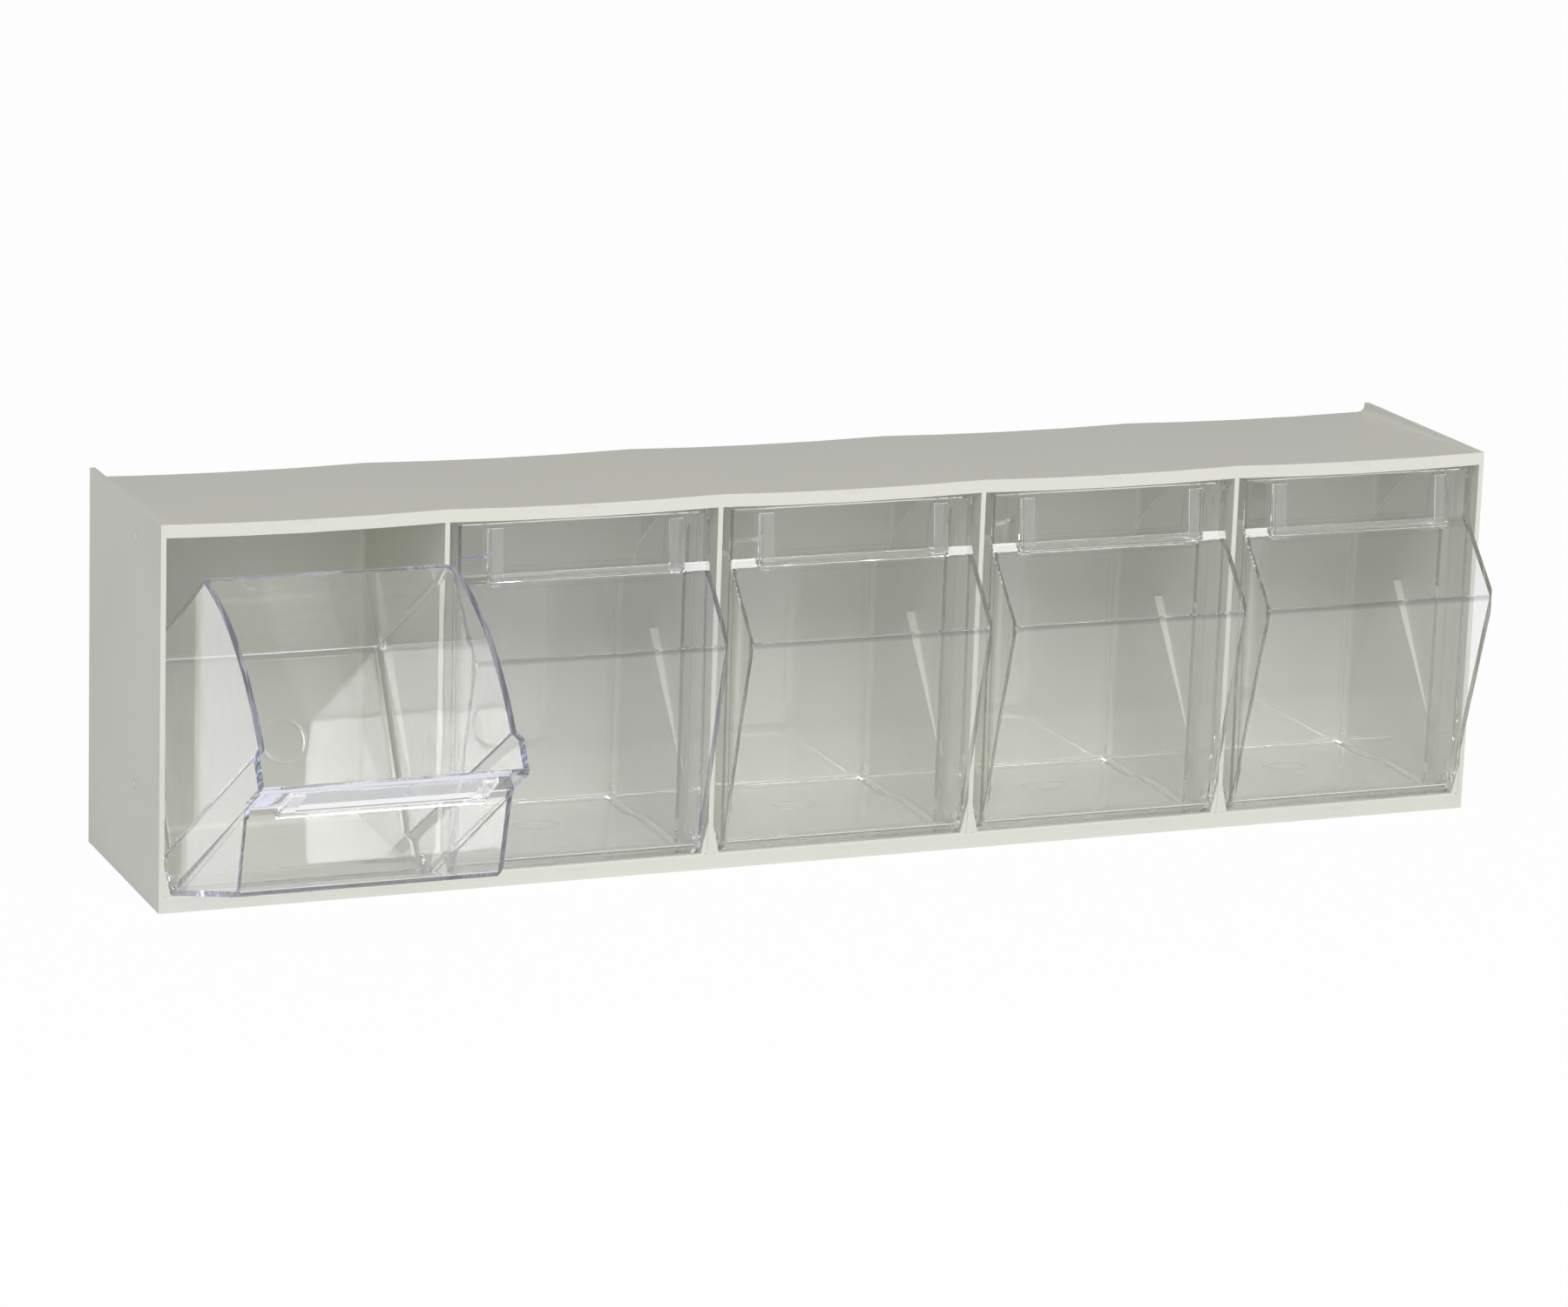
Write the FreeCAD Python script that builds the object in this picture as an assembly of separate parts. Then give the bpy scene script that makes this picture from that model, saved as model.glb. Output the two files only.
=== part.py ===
import FreeCAD, Part
import math
import os

V = FreeCAD.Vector

# Housing, measured from its front plane and its underside
WIDTH = 600.0
HEIGHT = 162.2
DEPTH = 108.5
BAYS = 5
SIDE_WALL = 2.2
BACK_WALL = 2.2
FLOOR_WALL = 2.2
TOP_WALL = 2.2
DIVIDER = 2.1
TOP_FALL = 4.0
TOP_SAG = 0.9
TOP_FILLET = 3.0
TOP_RAIL_HEIGHT = 5.5
BOTTOM_RAIL_HEIGHT = 6.9
RAIL_THICKNESS = 2.4
RAIL_ROUND = 1.0
BAY_FILLET = 3.0
MOUTH_FILLET = 1.5

# Moulding marks on the front rails and pips on the end walls
MARK_WIDTH = 8.0
MARK_HEIGHT = 3.2
MARK_DEPTH = 0.2
PIP_RADIUS = 2.1
PIP_HEIGHT = 0.5
PIP_BACK = 38.3
LOW_PIP_UP = 44.6
HIGH_PIP_DROP = 13.6

# Hinge of each bin, low down just behind the front plane
PIVOT_BACK = 5.0
PIVOT_UP = 13.5
OPEN_ANGLE = 58.7
PIN_RADIUS = 2.4
PIN_CLEARANCE = 0.05
BEARING_GAP = 0.5
BEARING_DEPTH = 9.2
BEARING_RISE = 7.0
SOCKET_BITE = 0.6
PIN_END_GAP = 0.3

# Bin shell, in its closed place
BIN_GAP = 3.5
STRIP_GAP = 0.9
STRIP_WALL = 2.5
SIDE_SHEET = 2.5
FRONT_SHEET = 2.2
BIN_FLOOR = 2.2
REAR_SHEET = 2.2
STRIP_HEIGHT = 21.2
LEDGE_DEPTH = 2.0
LEDGE_HEIGHT = 4.2
RIDGE_OUT = 25.0
RIDGE_UP = 103.3
RIDGE_ROUND = 1.6
CHEEK_ROUND = 3.0
CHEEK_SHEET = 1.5
CHEEK_SET_IN = 0.3
TOE_UP = 13.0
TOE_HEIGHT = 3.5
TOE_BACK = 8.0
TOE_FILLET = 8.0
BIN_UNDER = 4.1
BIN_BACK = 101.6
REAR_LEAN = 0.5
REAR_TOP_UP = 110.0
REAR_CORNER = 4.0
SIDE_ZONE_DEPTH = 14.6
JOG_DEPTH = 3.6
JOG_INSET = 2.6
SHOULDER_DROP = 0.7
RIM_RISE = 10.0
FLOOR_FILLET = 2.0
FLOOR_ROUND = 4.0
PANEL_FRONT = 20.0
PANEL_MARGIN = 0.5
PANEL_DEPTH = 0.3
PANEL_CORNER = 4.0

# Label holder on the strip
HOLDER_HALF = 42.6
HOLDER_PROUD = 4.0
HOLDER_HEAD = 1.8
HOLDER_DROP = 1.6
HOLDER_WALL = 1.2
HOLDER_LIP = 6.3
HOLDER_SILL = 0.9

# Ramp on each bay wall, and the lug at the rear foot of a bin that passes over it
WEDGE_PROUD = 3.7
WEDGE_TOE = 28.2
WEDGE_RADIUS = 95.0
WEDGE_FOOT_UP = 4.5
LUG_LENGTH = 3.6
LUG_TIP = 1.6
LUG_HEIGHT = 3.0
LUG_FROM_REAR = 3.4
LUG_RISE = 4.5
LUG_GAP = 0.4

OVERRUN = 1.0
PARALLEL_SHARE = 0.01

# Sizes that follow from those above
FRONT = -DEPTH / 2
HALF_WIDTH = WIDTH / 2
INNER_HALF = HALF_WIDTH - SIDE_WALL
PITCH = (WIDTH - 2 * SIDE_WALL + DIVIDER) / BAYS
BAY_WIDTH = PITCH - DIVIDER
INNER_BACK = DEPTH - BACK_WALL
MOUTH_TOP = HEIGHT - TOP_RAIL_HEIGHT
BIN_HALF = BAY_WIDTH / 2 - BIN_GAP
REAR_HALF = BIN_HALF - JOG_INSET
STRIP_TOP = MOUTH_TOP - TOP_SAG - STRIP_GAP
LEDGE_UP = STRIP_TOP - STRIP_HEIGHT
SHOULDER_BACK = SIDE_ZONE_DEPTH + JOG_DEPTH
LEDGE_FOOT = LEDGE_UP - LEDGE_HEIGHT
FLOOR_TOP = BIN_UNDER + BIN_FLOOR
LUG_PROUD = BAY_WIDTH / 2 - REAR_HALF - WEDGE_PROUD - LUG_GAP


def bay_centre(number):
    """Middle of a bay across the width, counted from 1 at the left."""
    return (number - (BAYS + 1) / 2) * PITCH


def side_point(y, z):
    """A point of a side profile, in the plane through the middle of a bay."""
    return V(0, y, z)


def plan_point(x, y):
    """A point of a plan profile, at the level of the underside."""
    return V(x, y, 0)


def rounded_wire(points, radii):
    """Closed wire through points, each corner rounded by its radius."""
    cuts = []
    count = len(points)
    for i, corner in enumerate(points):
        before = points[i - 1] - corner
        after = points[(i + 1) % count] - corner
        if not radii[i]:
            cuts.append((corner, None, corner))
            continue
        half = before.getAngle(after) / 2
        back = radii[i] / math.tan(half)
        before.normalize()
        after.normalize()
        inward = before + after
        inward.normalize()
        middle = corner + inward * (radii[i] / math.sin(half) - radii[i])
        cuts.append((corner + before * back, middle, corner + after * back))
    edges = []
    for i, (start, middle, end) in enumerate(cuts):
        if middle:
            edges.append(Part.Arc(start, middle, end).toShape())
        edges.append(Part.LineSegment(end, cuts[(i + 1) % count][0]).toShape())
    return Part.Wire(edges)


def prism(points, radii, along):
    """Solid swept from a closed profile along a vector."""
    return Part.Face(rounded_wire(points, radii)).extrude(along)


def across(points, radii, low, high):
    """Solid of a side profile that runs across the width from low to high."""
    solid = prism(points, radii, V(high - low, 0, 0))
    solid.translate(V(low, 0, 0))
    return solid


def box(x0, x1, y0, y1, z0, z1):
    """Box between two corners."""
    return Part.makeBox(x1 - x0, y1 - y0, z1 - z0, V(x0, y0, z0))


def meet(a, b, c, d):
    """Point where the line a to b crosses the line c to d in a side profile."""
    run = b - a
    other = d - c
    cross = run.y * other.z - run.z * other.y
    share = ((c.y - a.y) * other.z - (c.z - a.z) * other.y) / cross
    return a + run * share


def shifted(a, b, distance):
    """The line a to b moved to its left, seen from the right end of the part."""
    run = b - a
    aside = V(0, -run.z, run.y)
    aside.normalize()
    return a + aside * distance, b + aside * distance


def turned(y, z, degrees):
    """A side profile point after the bin has tilted about its hinge."""
    angle = math.radians(degrees)
    back = y - PIVOT_BACK
    up = z - PIVOT_UP
    return side_point(
        PIVOT_BACK + back * math.cos(angle) - up * math.sin(angle),
        PIVOT_UP + back * math.sin(angle) + up * math.cos(angle),
    )


# Housing

def top_profile(lower, upper):
    """Region between the sagging top line, lowered, and a level above it."""
    edges = []
    start = V(-INNER_HALF, 0, lower)
    for number in range(1, BAYS + 1):
        centre = bay_centre(number)
        last = number == BAYS
        end = V(INNER_HALF if last else centre + PITCH / 2, 0, lower)
        middle = V((start.x + end.x) / 2, 0, lower - TOP_SAG)
        edges.append(Part.Arc(start, middle, end).toShape())
        start = end
    corners = [start, V(INNER_HALF, 0, upper), V(-INNER_HALF, 0, upper), V(-INNER_HALF, 0, lower)]
    for a, b in zip(corners, corners[1:]):
        edges.append(Part.LineSegment(a, b).toShape())
    return Part.Face(Part.Wire(edges))


def down_the_top(face):
    """Solid of a profile swept from front to rear along the slope of the top panel."""
    fall = V(0, DEPTH, -TOP_FALL)
    slope = math.degrees(math.atan2(TOP_FALL, DEPTH))
    face.rotate(V(0, 0, HEIGHT), V(1, 0, 0), -slope)
    face.translate(fall * (-OVERRUN / DEPTH))
    return face.extrude(fall * ((DEPTH + 2 * OVERRUN) / DEPTH))


def above_top():
    """Space over the top panel, which falls to the rear between the end walls."""
    return down_the_top(top_profile(HEIGHT, HEIGHT + TOP_FALL + 2 * OVERRUN))


def top_corner_fillet(side):
    """Soft inner corner where an end wall stands up above the top panel."""
    corner = V(side * INNER_HALF, 0, HEIGHT)
    inner = corner - V(side * TOP_FILLET, 0, 0)
    upper = corner + V(0, 0, TOP_FILLET)
    centre = inner + V(0, 0, TOP_FILLET)
    toward = (corner - centre) * (1 / math.sqrt(2))
    below = V(0, 0, -TOP_WALL / 2)
    outer = V(side * SIDE_WALL / 2, 0, 0)
    edges = [
        Part.Arc(inner, centre + toward, upper).toShape(),
        Part.LineSegment(upper, upper + outer).toShape(),
        Part.LineSegment(upper + outer, corner + outer + below).toShape(),
        Part.LineSegment(corner + outer + below, inner + below).toShape(),
        Part.LineSegment(inner + below, inner).toShape(),
    ]
    strip = down_the_top(Part.Face(Part.Wire(edges)))
    return strip.common(box(-HALF_WIDTH, HALF_WIDTH, 0, DEPTH, 0, HEIGHT))


def bay_space(number):
    """Inside of one bay, behind the rails."""
    centre = bay_centre(number)
    left = centre - BAY_WIDTH / 2
    right = centre + BAY_WIDTH / 2
    rear_roof = HEIGHT - TOP_SAG - TOP_FALL * INNER_BACK / DEPTH - TOP_WALL
    front_roof = HEIGHT - TOP_SAG - TOP_FALL * RAIL_THICKNESS / DEPTH - TOP_WALL
    profile = [
        side_point(RAIL_THICKNESS, FLOOR_WALL),
        side_point(INNER_BACK, FLOOR_WALL),
        side_point(INNER_BACK, rear_roof),
        side_point(RAIL_THICKNESS, front_roof),
    ]
    space = across(profile, (0, BAY_FILLET, BAY_FILLET, 0), left, right)
    plan = [
        plan_point(left, 0),
        plan_point(right, 0),
        plan_point(right, INNER_BACK),
        plan_point(left, INNER_BACK),
    ]
    return space.common(prism(plan, (0, 0, BAY_FILLET, BAY_FILLET), V(0, 0, HEIGHT)))


def bay_mouth(number):
    """Opening of one bay through the front rails."""
    centre = bay_centre(number)
    left = V(centre - BAY_WIDTH / 2, -OVERRUN, MOUTH_TOP)
    right = V(centre + BAY_WIDTH / 2, -OVERRUN, MOUTH_TOP)
    sill = V(0, 0, BOTTOM_RAIL_HEIGHT - MOUTH_TOP)
    sag = Part.Arc(left, V(centre, -OVERRUN, MOUTH_TOP - TOP_SAG), right).toShape()
    lines = (right, right + sill, left + sill, left)
    edges = [sag] + [Part.LineSegment(a, b).toShape() for a, b in zip(lines, lines[1:])]
    mouth = Part.Face(Part.Wire(edges)).extrude(V(0, RAIL_THICKNESS + 2 * OVERRUN, 0))
    low = [e for e in mouth.Edges if is_along_y(e) and e.CenterOfMass.z < HEIGHT / 2]
    return mouth.makeFillet(MOUTH_FILLET, low)


def is_along_y(edge):
    """Whether an edge is a straight run from front to rear."""
    ends = [v.Point for v in edge.Vertexes]
    if len(ends) != 2:
        return False
    run = ends[1] - ends[0]
    return abs(run.y) > 0 and math.hypot(run.x, run.z) < abs(run.y) * PARALLEL_SHARE


def rail_round():
    """Waste above the rounded top edge of the bottom rail, across the whole width."""
    edge = V(-INNER_HALF, 0, BOTTOM_RAIL_HEIGHT)
    start = edge - V(0, 0, RAIL_ROUND)
    centre = start + V(0, RAIL_ROUND, 0)
    middle = centre + V(0, -RAIL_ROUND, RAIL_ROUND) * (1 / math.sqrt(2))
    end = edge + V(0, RAIL_ROUND, 0)
    edges = [
        Part.Arc(start, middle, end).toShape(),
        Part.LineSegment(end, edge).toShape(),
        Part.LineSegment(edge, start).toShape(),
    ]
    return Part.Face(Part.Wire(edges))


def rail_rounds():
    """The rounded edge of the bottom rail, one length in each bay."""
    tools = []
    for number in range(1, BAYS + 1):
        left = bay_centre(number) - BAY_WIDTH / 2
        face = rail_round()
        face.translate(V(left + INNER_HALF, 0, 0))
        tools.append(face.extrude(V(BAY_WIDTH, 0, 0)))
    return tools


def rail_marks():
    """Shallow marks left by the mould in the middle of each length of rail."""
    tools = []
    for number in range(1, BAYS + 1):
        x = bay_centre(number)
        top = HEIGHT - TOP_SAG - (TOP_RAIL_HEIGHT - MARK_HEIGHT) / 2
        bottom = (BOTTOM_RAIL_HEIGHT - RAIL_ROUND - MARK_HEIGHT) / 2 + MARK_HEIGHT
        for up in (top, bottom):
            low = x - MARK_WIDTH / 2
            tools.append(box(low, low + MARK_WIDTH, -OVERRUN, MARK_DEPTH, up - MARK_HEIGHT, up))
    return tools


def wedge(face, inward):
    """Ramp on a bay wall that rises to a straight ledge, along an open bin's underside."""
    drop = PIVOT_UP - BIN_UNDER
    toe = turned(PIVOT_BACK + WEDGE_TOE, BIN_UNDER, OPEN_ANGLE)
    apex_run = math.sqrt(WEDGE_RADIUS ** 2 - drop ** 2)
    apex = turned(PIVOT_BACK + apex_run, BIN_UNDER, OPEN_ANGLE)
    foot_drop = PIVOT_UP - WEDGE_FOOT_UP
    foot = side_point(PIVOT_BACK + math.sqrt(WEDGE_RADIUS ** 2 - foot_drop ** 2), WEDGE_FOOT_UP)
    middle = turned(foot.y, foot.z, OPEN_ANGLE / 2)
    edges = [
        Part.Arc(foot, middle, apex).toShape(),
        Part.LineSegment(apex, toe).toShape(),
        Part.LineSegment(toe, foot).toShape(),
    ]
    pad = Part.Face(Part.Wire(edges)).extrude(V(inward * WEDGE_PROUD, 0, 0))
    base = foot - toe
    base.normalize()
    rise = V(0, -base.z, base.y)
    root = toe - base * WEDGE_RADIUS
    high = root + rise * (apex - toe).dot(rise)
    proud = high + V(inward * WEDGE_PROUD, 0, 0)
    slope = Part.Face(Part.makePolygon([root, high, proud, root])).extrude(base * (3 * WEDGE_RADIUS))
    ramp = pad.common(slope)
    ramp.translate(V(face, 0, 0))
    return ramp


def bearing(face, inward):
    """Block at the foot of a bay wall that carries a hinge pin and tapers off upwards."""
    root = face - inward * SOCKET_BITE
    proud = face + inward * (BIN_GAP - BEARING_GAP)
    front = PIVOT_BACK - BEARING_DEPTH / 2
    profile = [
        V(root, front, FLOOR_WALL / 2),
        V(proud, front, FLOOR_WALL / 2),
        V(proud, front, BOTTOM_RAIL_HEIGHT),
        V(face, front, PIVOT_UP + BEARING_RISE),
        V(root, front, PIVOT_UP + BEARING_RISE),
    ]
    return prism(profile, [0] * len(profile), V(0, BEARING_DEPTH, 0))


def socket(face, inward):
    """Blind hole for a hinge pin, through the bearing block and a little into the wall."""
    base = V(face - inward * SOCKET_BITE, PIVOT_BACK, PIVOT_UP)
    return Part.makeCylinder(PIN_RADIUS + PIN_CLEARANCE, SOCKET_BITE + BIN_GAP, base, V(inward, 0, 0))


def bay_walls():
    """The two side faces of each bay, with the way that faces into it."""
    for number in range(1, BAYS + 1):
        centre = bay_centre(number)
        yield centre - BAY_WIDTH / 2, 1
        yield centre + BAY_WIDTH / 2, -1


def end_pips():
    """Small round pips on the outside of both end walls."""
    pips = []
    for side in (-1, 1):
        for up in (LOW_PIP_UP, HEIGHT - HIGH_PIP_DROP):
            base = V(side * (HALF_WIDTH - SIDE_WALL / 2), PIP_BACK, up)
            pips.append(Part.makeCylinder(PIP_RADIUS, SIDE_WALL / 2 + PIP_HEIGHT, base, V(side, 0, 0)))
    return pips


def housing():
    """One-piece moulded housing with five open bays."""
    body = box(-HALF_WIDTH, HALF_WIDTH, 0, DEPTH, 0, HEIGHT)
    waste = [above_top()]
    for number in range(1, BAYS + 1):
        waste += [bay_space(number), bay_mouth(number)]
    body = body.cut(waste + rail_rounds() + rail_marks())
    added = [top_corner_fillet(side) for side in (-1, 1)] + end_pips()
    for face, inward in bay_walls():
        added += [wedge(face, inward), bearing(face, inward)]
    body = body.fuse(added)
    return body.cut([socket(face, inward) for face, inward in bay_walls()]).removeSplitter()


# Bin

def bin_outline():
    """Side profile of the bin's outside, with its open top left square."""
    points = [
        side_point(0, STRIP_TOP),
        side_point(0, LEDGE_UP),
        side_point(-LEDGE_DEPTH, LEDGE_UP),
        side_point(-LEDGE_DEPTH, LEDGE_FOOT),
        side_point(-RIDGE_OUT, RIDGE_UP),
        side_point(0, TOE_UP),
        side_point(0, TOE_UP - TOE_HEIGHT),
        side_point(TOE_BACK, BIN_UNDER),
        side_point(BIN_BACK - REAR_LEAN, BIN_UNDER),
        side_point(BIN_BACK, REAR_TOP_UP),
        side_point(BIN_BACK, STRIP_TOP),
    ]
    radii = [0, 0, 0, 0, RIDGE_ROUND, 0, 0, 0, 0, 0, 0]
    return points, radii


def bin_inline():
    """Side profile of the bin's inside, carried on upwards past its open top."""
    ledge_foot = side_point(-LEDGE_DEPTH, LEDGE_FOOT)
    ridge = side_point(-RIDGE_OUT, RIDGE_UP)
    toe = side_point(0, TOE_UP)
    rear_foot = side_point(BIN_BACK - REAR_LEAN, BIN_UNDER)
    rear_top = side_point(BIN_BACK, REAR_TOP_UP)
    strip = (side_point(STRIP_WALL, HEIGHT), side_point(STRIP_WALL, LEDGE_UP))
    upper = shifted(ledge_foot, ridge, FRONT_SHEET)
    lower = shifted(ridge, toe, FRONT_SHEET)
    floor = (side_point(TOE_BACK, FLOOR_TOP), side_point(BIN_BACK, FLOOR_TOP))
    rear = shifted(rear_foot, rear_top, REAR_SHEET)
    top = (side_point(0, HEIGHT), side_point(BIN_BACK, HEIGHT))
    points = [
        side_point(STRIP_WALL, HEIGHT),
        meet(*strip, *upper),
        meet(*upper, *lower),
        meet(*lower, *floor),
        meet(*floor, *rear),
        meet(*rear, *top),
    ]
    return points, [0, 0, RIDGE_ROUND / 2, TOE_FILLET, FLOOR_FILLET, 0]


def bin_plan(inset, cheek_inset, rear, nose, corner):
    """Plan of the bin: thin cheeks in front, wide sides, and a narrower rear."""
    wide = BIN_HALF - inset
    narrow = REAR_HALF - inset
    cheek = BIN_HALF - cheek_inset
    ease = inset * (math.hypot(JOG_DEPTH, JOG_INSET) - JOG_DEPTH) / JOG_INSET
    right = [
        plan_point(cheek, -RIDGE_OUT),
        plan_point(cheek, 0),
        plan_point(wide, 0),
        plan_point(wide, SIDE_ZONE_DEPTH - ease),
        plan_point(narrow, SHOULDER_BACK - ease),
        plan_point(narrow, rear),
    ]
    left = [plan_point(-p.x, p.y) for p in reversed(right)]
    half = [nose, 0, 0, 0, 0, corner]
    return right + left, half + half[::-1]


def zones(solid, inset, low, corner):
    """Front and rear parts of a solid, each with its lower side corners rounded."""
    parts = []
    spans = ((BIN_HALF, -RIDGE_OUT, SHOULDER_BACK), (REAR_HALF, SHOULDER_BACK, BIN_BACK))
    for full, front, back in spans:
        half = full - inset
        ends = [V(-half, front, low), V(half, front, low), V(half, front, HEIGHT), V(-half, front, HEIGHT)]
        parts.append(solid.common(prism(ends, (corner, corner, 0, 0), V(0, back - front, 0))))
    return parts


def bin_hollow():
    """Everything inside the bin's walls."""
    side = across(*bin_inline(), -BIN_HALF, BIN_HALF)
    cheek_inset = CHEEK_SET_IN + CHEEK_SHEET
    nose = CHEEK_ROUND - CHEEK_SHEET
    corner = REAR_CORNER - REAR_SHEET
    plan = bin_plan(SIDE_SHEET, cheek_inset, BIN_BACK - REAR_SHEET, nose, corner)
    return zones(side.common(prism(*plan, V(0, 0, HEIGHT))), SIDE_SHEET, FLOOR_TOP, FLOOR_FILLET)


def floor_panel():
    """Shallow sunk panel that leaves a line round the flat of the bin's floor."""
    half = REAR_HALF - SIDE_SHEET - FLOOR_FILLET - PANEL_MARGIN
    rear = BIN_BACK - REAR_LEAN - REAR_SHEET - FLOOR_FILLET - PANEL_MARGIN
    plan = [
        plan_point(half, PANEL_FRONT),
        plan_point(half, rear),
        plan_point(-half, rear),
        plan_point(-half, PANEL_FRONT),
    ]
    panel = prism(plan, [PANEL_CORNER] * len(plan), V(0, 0, PANEL_DEPTH + OVERRUN))
    panel.translate(V(0, 0, FLOOR_TOP - PANEL_DEPTH))
    return panel


def rim_waste():
    """Material above the curved rim, from the shoulder down to the rear wall."""
    shoulder = side_point(SHOULDER_BACK, STRIP_TOP - SHOULDER_DROP)
    heel = side_point(SIDE_ZONE_DEPTH, STRIP_TOP)
    rear = side_point(BIN_BACK, REAR_TOP_UP)
    chord = rear - shoulder
    outward = V(0, -chord.z, chord.y)
    outward.normalize()
    middle = (shoulder + rear) * (1 / 2) + outward * RIM_RISE
    last = rear + V(0, OVERRUN, 0)
    over = V(0, 0, STRIP_TOP + OVERRUN - REAR_TOP_UP)
    heel_over = heel + V(0, 0, OVERRUN)
    edges = [
        Part.LineSegment(heel, shoulder).toShape(),
        Part.Arc(shoulder, middle, rear).toShape(),
        Part.LineSegment(rear, last).toShape(),
        Part.LineSegment(last, last + over).toShape(),
        Part.LineSegment(last + over, heel_over).toShape(),
        Part.LineSegment(heel_over, heel).toShape(),
    ]
    tool = Part.Face(Part.Wire(edges)).extrude(V(2 * BIN_HALF, 0, 0))
    tool.translate(V(-BIN_HALF, 0, 0))
    return tool


def label_holder():
    """Pocket for a label card: a wedge gusset and a lip each side, and a sill between."""
    head = STRIP_TOP - HOLDER_DROP
    front_top = side_point(-HOLDER_HEAD, head)
    front_foot = side_point(-HOLDER_PROUD, LEDGE_FOOT)
    wall = V(0, HOLDER_WALL, 0)
    root = STRIP_WALL / 2
    gusset = [front_top, front_foot, side_point(root, LEDGE_FOOT), side_point(root, head)]
    lip = [front_top, front_foot, front_foot + wall, front_top + wall]
    lip_top = LEDGE_UP + HOLDER_SILL
    pieces = [
        box(-HOLDER_HALF, HOLDER_HALF, -HOLDER_PROUD, root, LEDGE_FOOT, LEDGE_FOOT + HOLDER_WALL),
        box(-HOLDER_HALF, HOLDER_HALF, -HOLDER_PROUD, HOLDER_WALL - HOLDER_PROUD, LEDGE_FOOT, lip_top),
    ]
    for side in (-1, 1):
        for profile, width in ((gusset, HOLDER_WALL), (lip, HOLDER_LIP)):
            low, high = sorted((side * HOLDER_HALF, side * (HOLDER_HALF - width)))
            pieces.append(across(profile, [0] * len(profile), low, high))
    return pieces


def side_fittings(side):
    """Hinge pin and bevelled rear lug on one side of a bin."""
    root = side * (BIN_HALF - SIDE_SHEET / 2)
    reach = SIDE_SHEET / 2 + BIN_GAP + SOCKET_BITE - PIN_END_GAP
    pin = Part.makeCylinder(PIN_RADIUS, reach, V(root, PIVOT_BACK, PIVOT_UP), V(side, 0, 0))
    lug_root = side * (REAR_HALF - SIDE_SHEET / 2)
    lug_tip = side * (REAR_HALF + LUG_PROUD)
    middle = BIN_BACK - LUG_FROM_REAR
    low = BIN_UNDER + LUG_RISE
    plan = [
        V(lug_root, middle - LUG_LENGTH / 2, low),
        V(lug_tip, middle - LUG_TIP / 2, low),
        V(lug_tip, middle + LUG_TIP / 2, low),
        V(lug_root, middle + LUG_LENGTH / 2, low),
    ]
    return [pin, prism(plan, [0] * len(plan), V(0, 0, LUG_HEIGHT))]


def closed_bin():
    """Clear tilting bin in its closed place, centred on the middle of the width."""
    plan = bin_plan(0, CHEEK_SET_IN, BIN_BACK, CHEEK_ROUND, REAR_CORNER)
    block = across(*bin_outline(), -BIN_HALF, BIN_HALF).common(prism(*plan, V(0, 0, HEIGHT)))
    front, rear = zones(block, 0, BIN_UNDER, FLOOR_ROUND)
    shell = front.fuse(rear).cut([rim_waste(), floor_panel()] + bin_hollow())
    return shell.fuse(label_holder() + side_fittings(-1) + side_fittings(1)).removeSplitter()


def placed_bin(shape, number, degrees):
    """A bin in its bay, tilted forward about its hinge."""
    moved = shape.copy()
    moved.rotate(V(0, PIVOT_BACK, PIVOT_UP), V(1, 0, 0), degrees)
    moved.translate(V(bay_centre(number), 0, 0))
    return moved


def export(shape, name):
    """Write one sub-part, with the origin under the middle of the housing."""
    shape.translate(V(0, FRONT, 0))
    shape.exportStep("parts/" + name + ".step")
    print(name, "valid", shape.isValid(), "solids", len(shape.Solids), "volume", round(shape.Volume))


def main():
    os.makedirs("parts", exist_ok=True)
    export(housing(), "housing")
    shape = closed_bin()
    for number in range(1, BAYS + 1):
        tilt = OPEN_ANGLE if number == 1 else 0
        export(placed_bin(shape, number, tilt), "bin_%d" % number)


main()
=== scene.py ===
"""Looks of a counter unit with five clear tilt out bins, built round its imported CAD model."""

import math

import bmesh
import bpy
from mathutils import Matrix, Vector


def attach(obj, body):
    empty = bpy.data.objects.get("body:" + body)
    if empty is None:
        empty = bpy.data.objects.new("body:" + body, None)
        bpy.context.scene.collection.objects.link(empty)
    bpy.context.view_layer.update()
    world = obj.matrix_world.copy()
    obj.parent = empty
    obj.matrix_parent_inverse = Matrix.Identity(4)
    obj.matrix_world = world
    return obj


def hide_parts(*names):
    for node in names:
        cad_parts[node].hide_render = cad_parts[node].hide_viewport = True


bl_info = {
    "name": "Tilt out bin unit",
    "version": (1, 0, 0),
    "blender": (4, 5, 0),
    "location": "View3D > Sidebar > Tilt out bins",
    "description": "Dresses a moulded housing and its five clear tilt out bins, on a lit floor",
    "category": "Object",
}

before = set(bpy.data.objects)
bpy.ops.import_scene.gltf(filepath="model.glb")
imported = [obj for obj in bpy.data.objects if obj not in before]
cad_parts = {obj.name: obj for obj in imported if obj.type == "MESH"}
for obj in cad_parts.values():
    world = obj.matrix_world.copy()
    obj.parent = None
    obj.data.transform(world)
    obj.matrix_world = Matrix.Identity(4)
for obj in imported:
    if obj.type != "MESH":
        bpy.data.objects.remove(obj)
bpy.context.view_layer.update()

BAYS = 5
SHUT_BIN = "bin_3"
HOUSING = "housing"
CABINET = "cabinet"
COOL_BINS = (1, 2)
OPEN_BIN = 1

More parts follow.
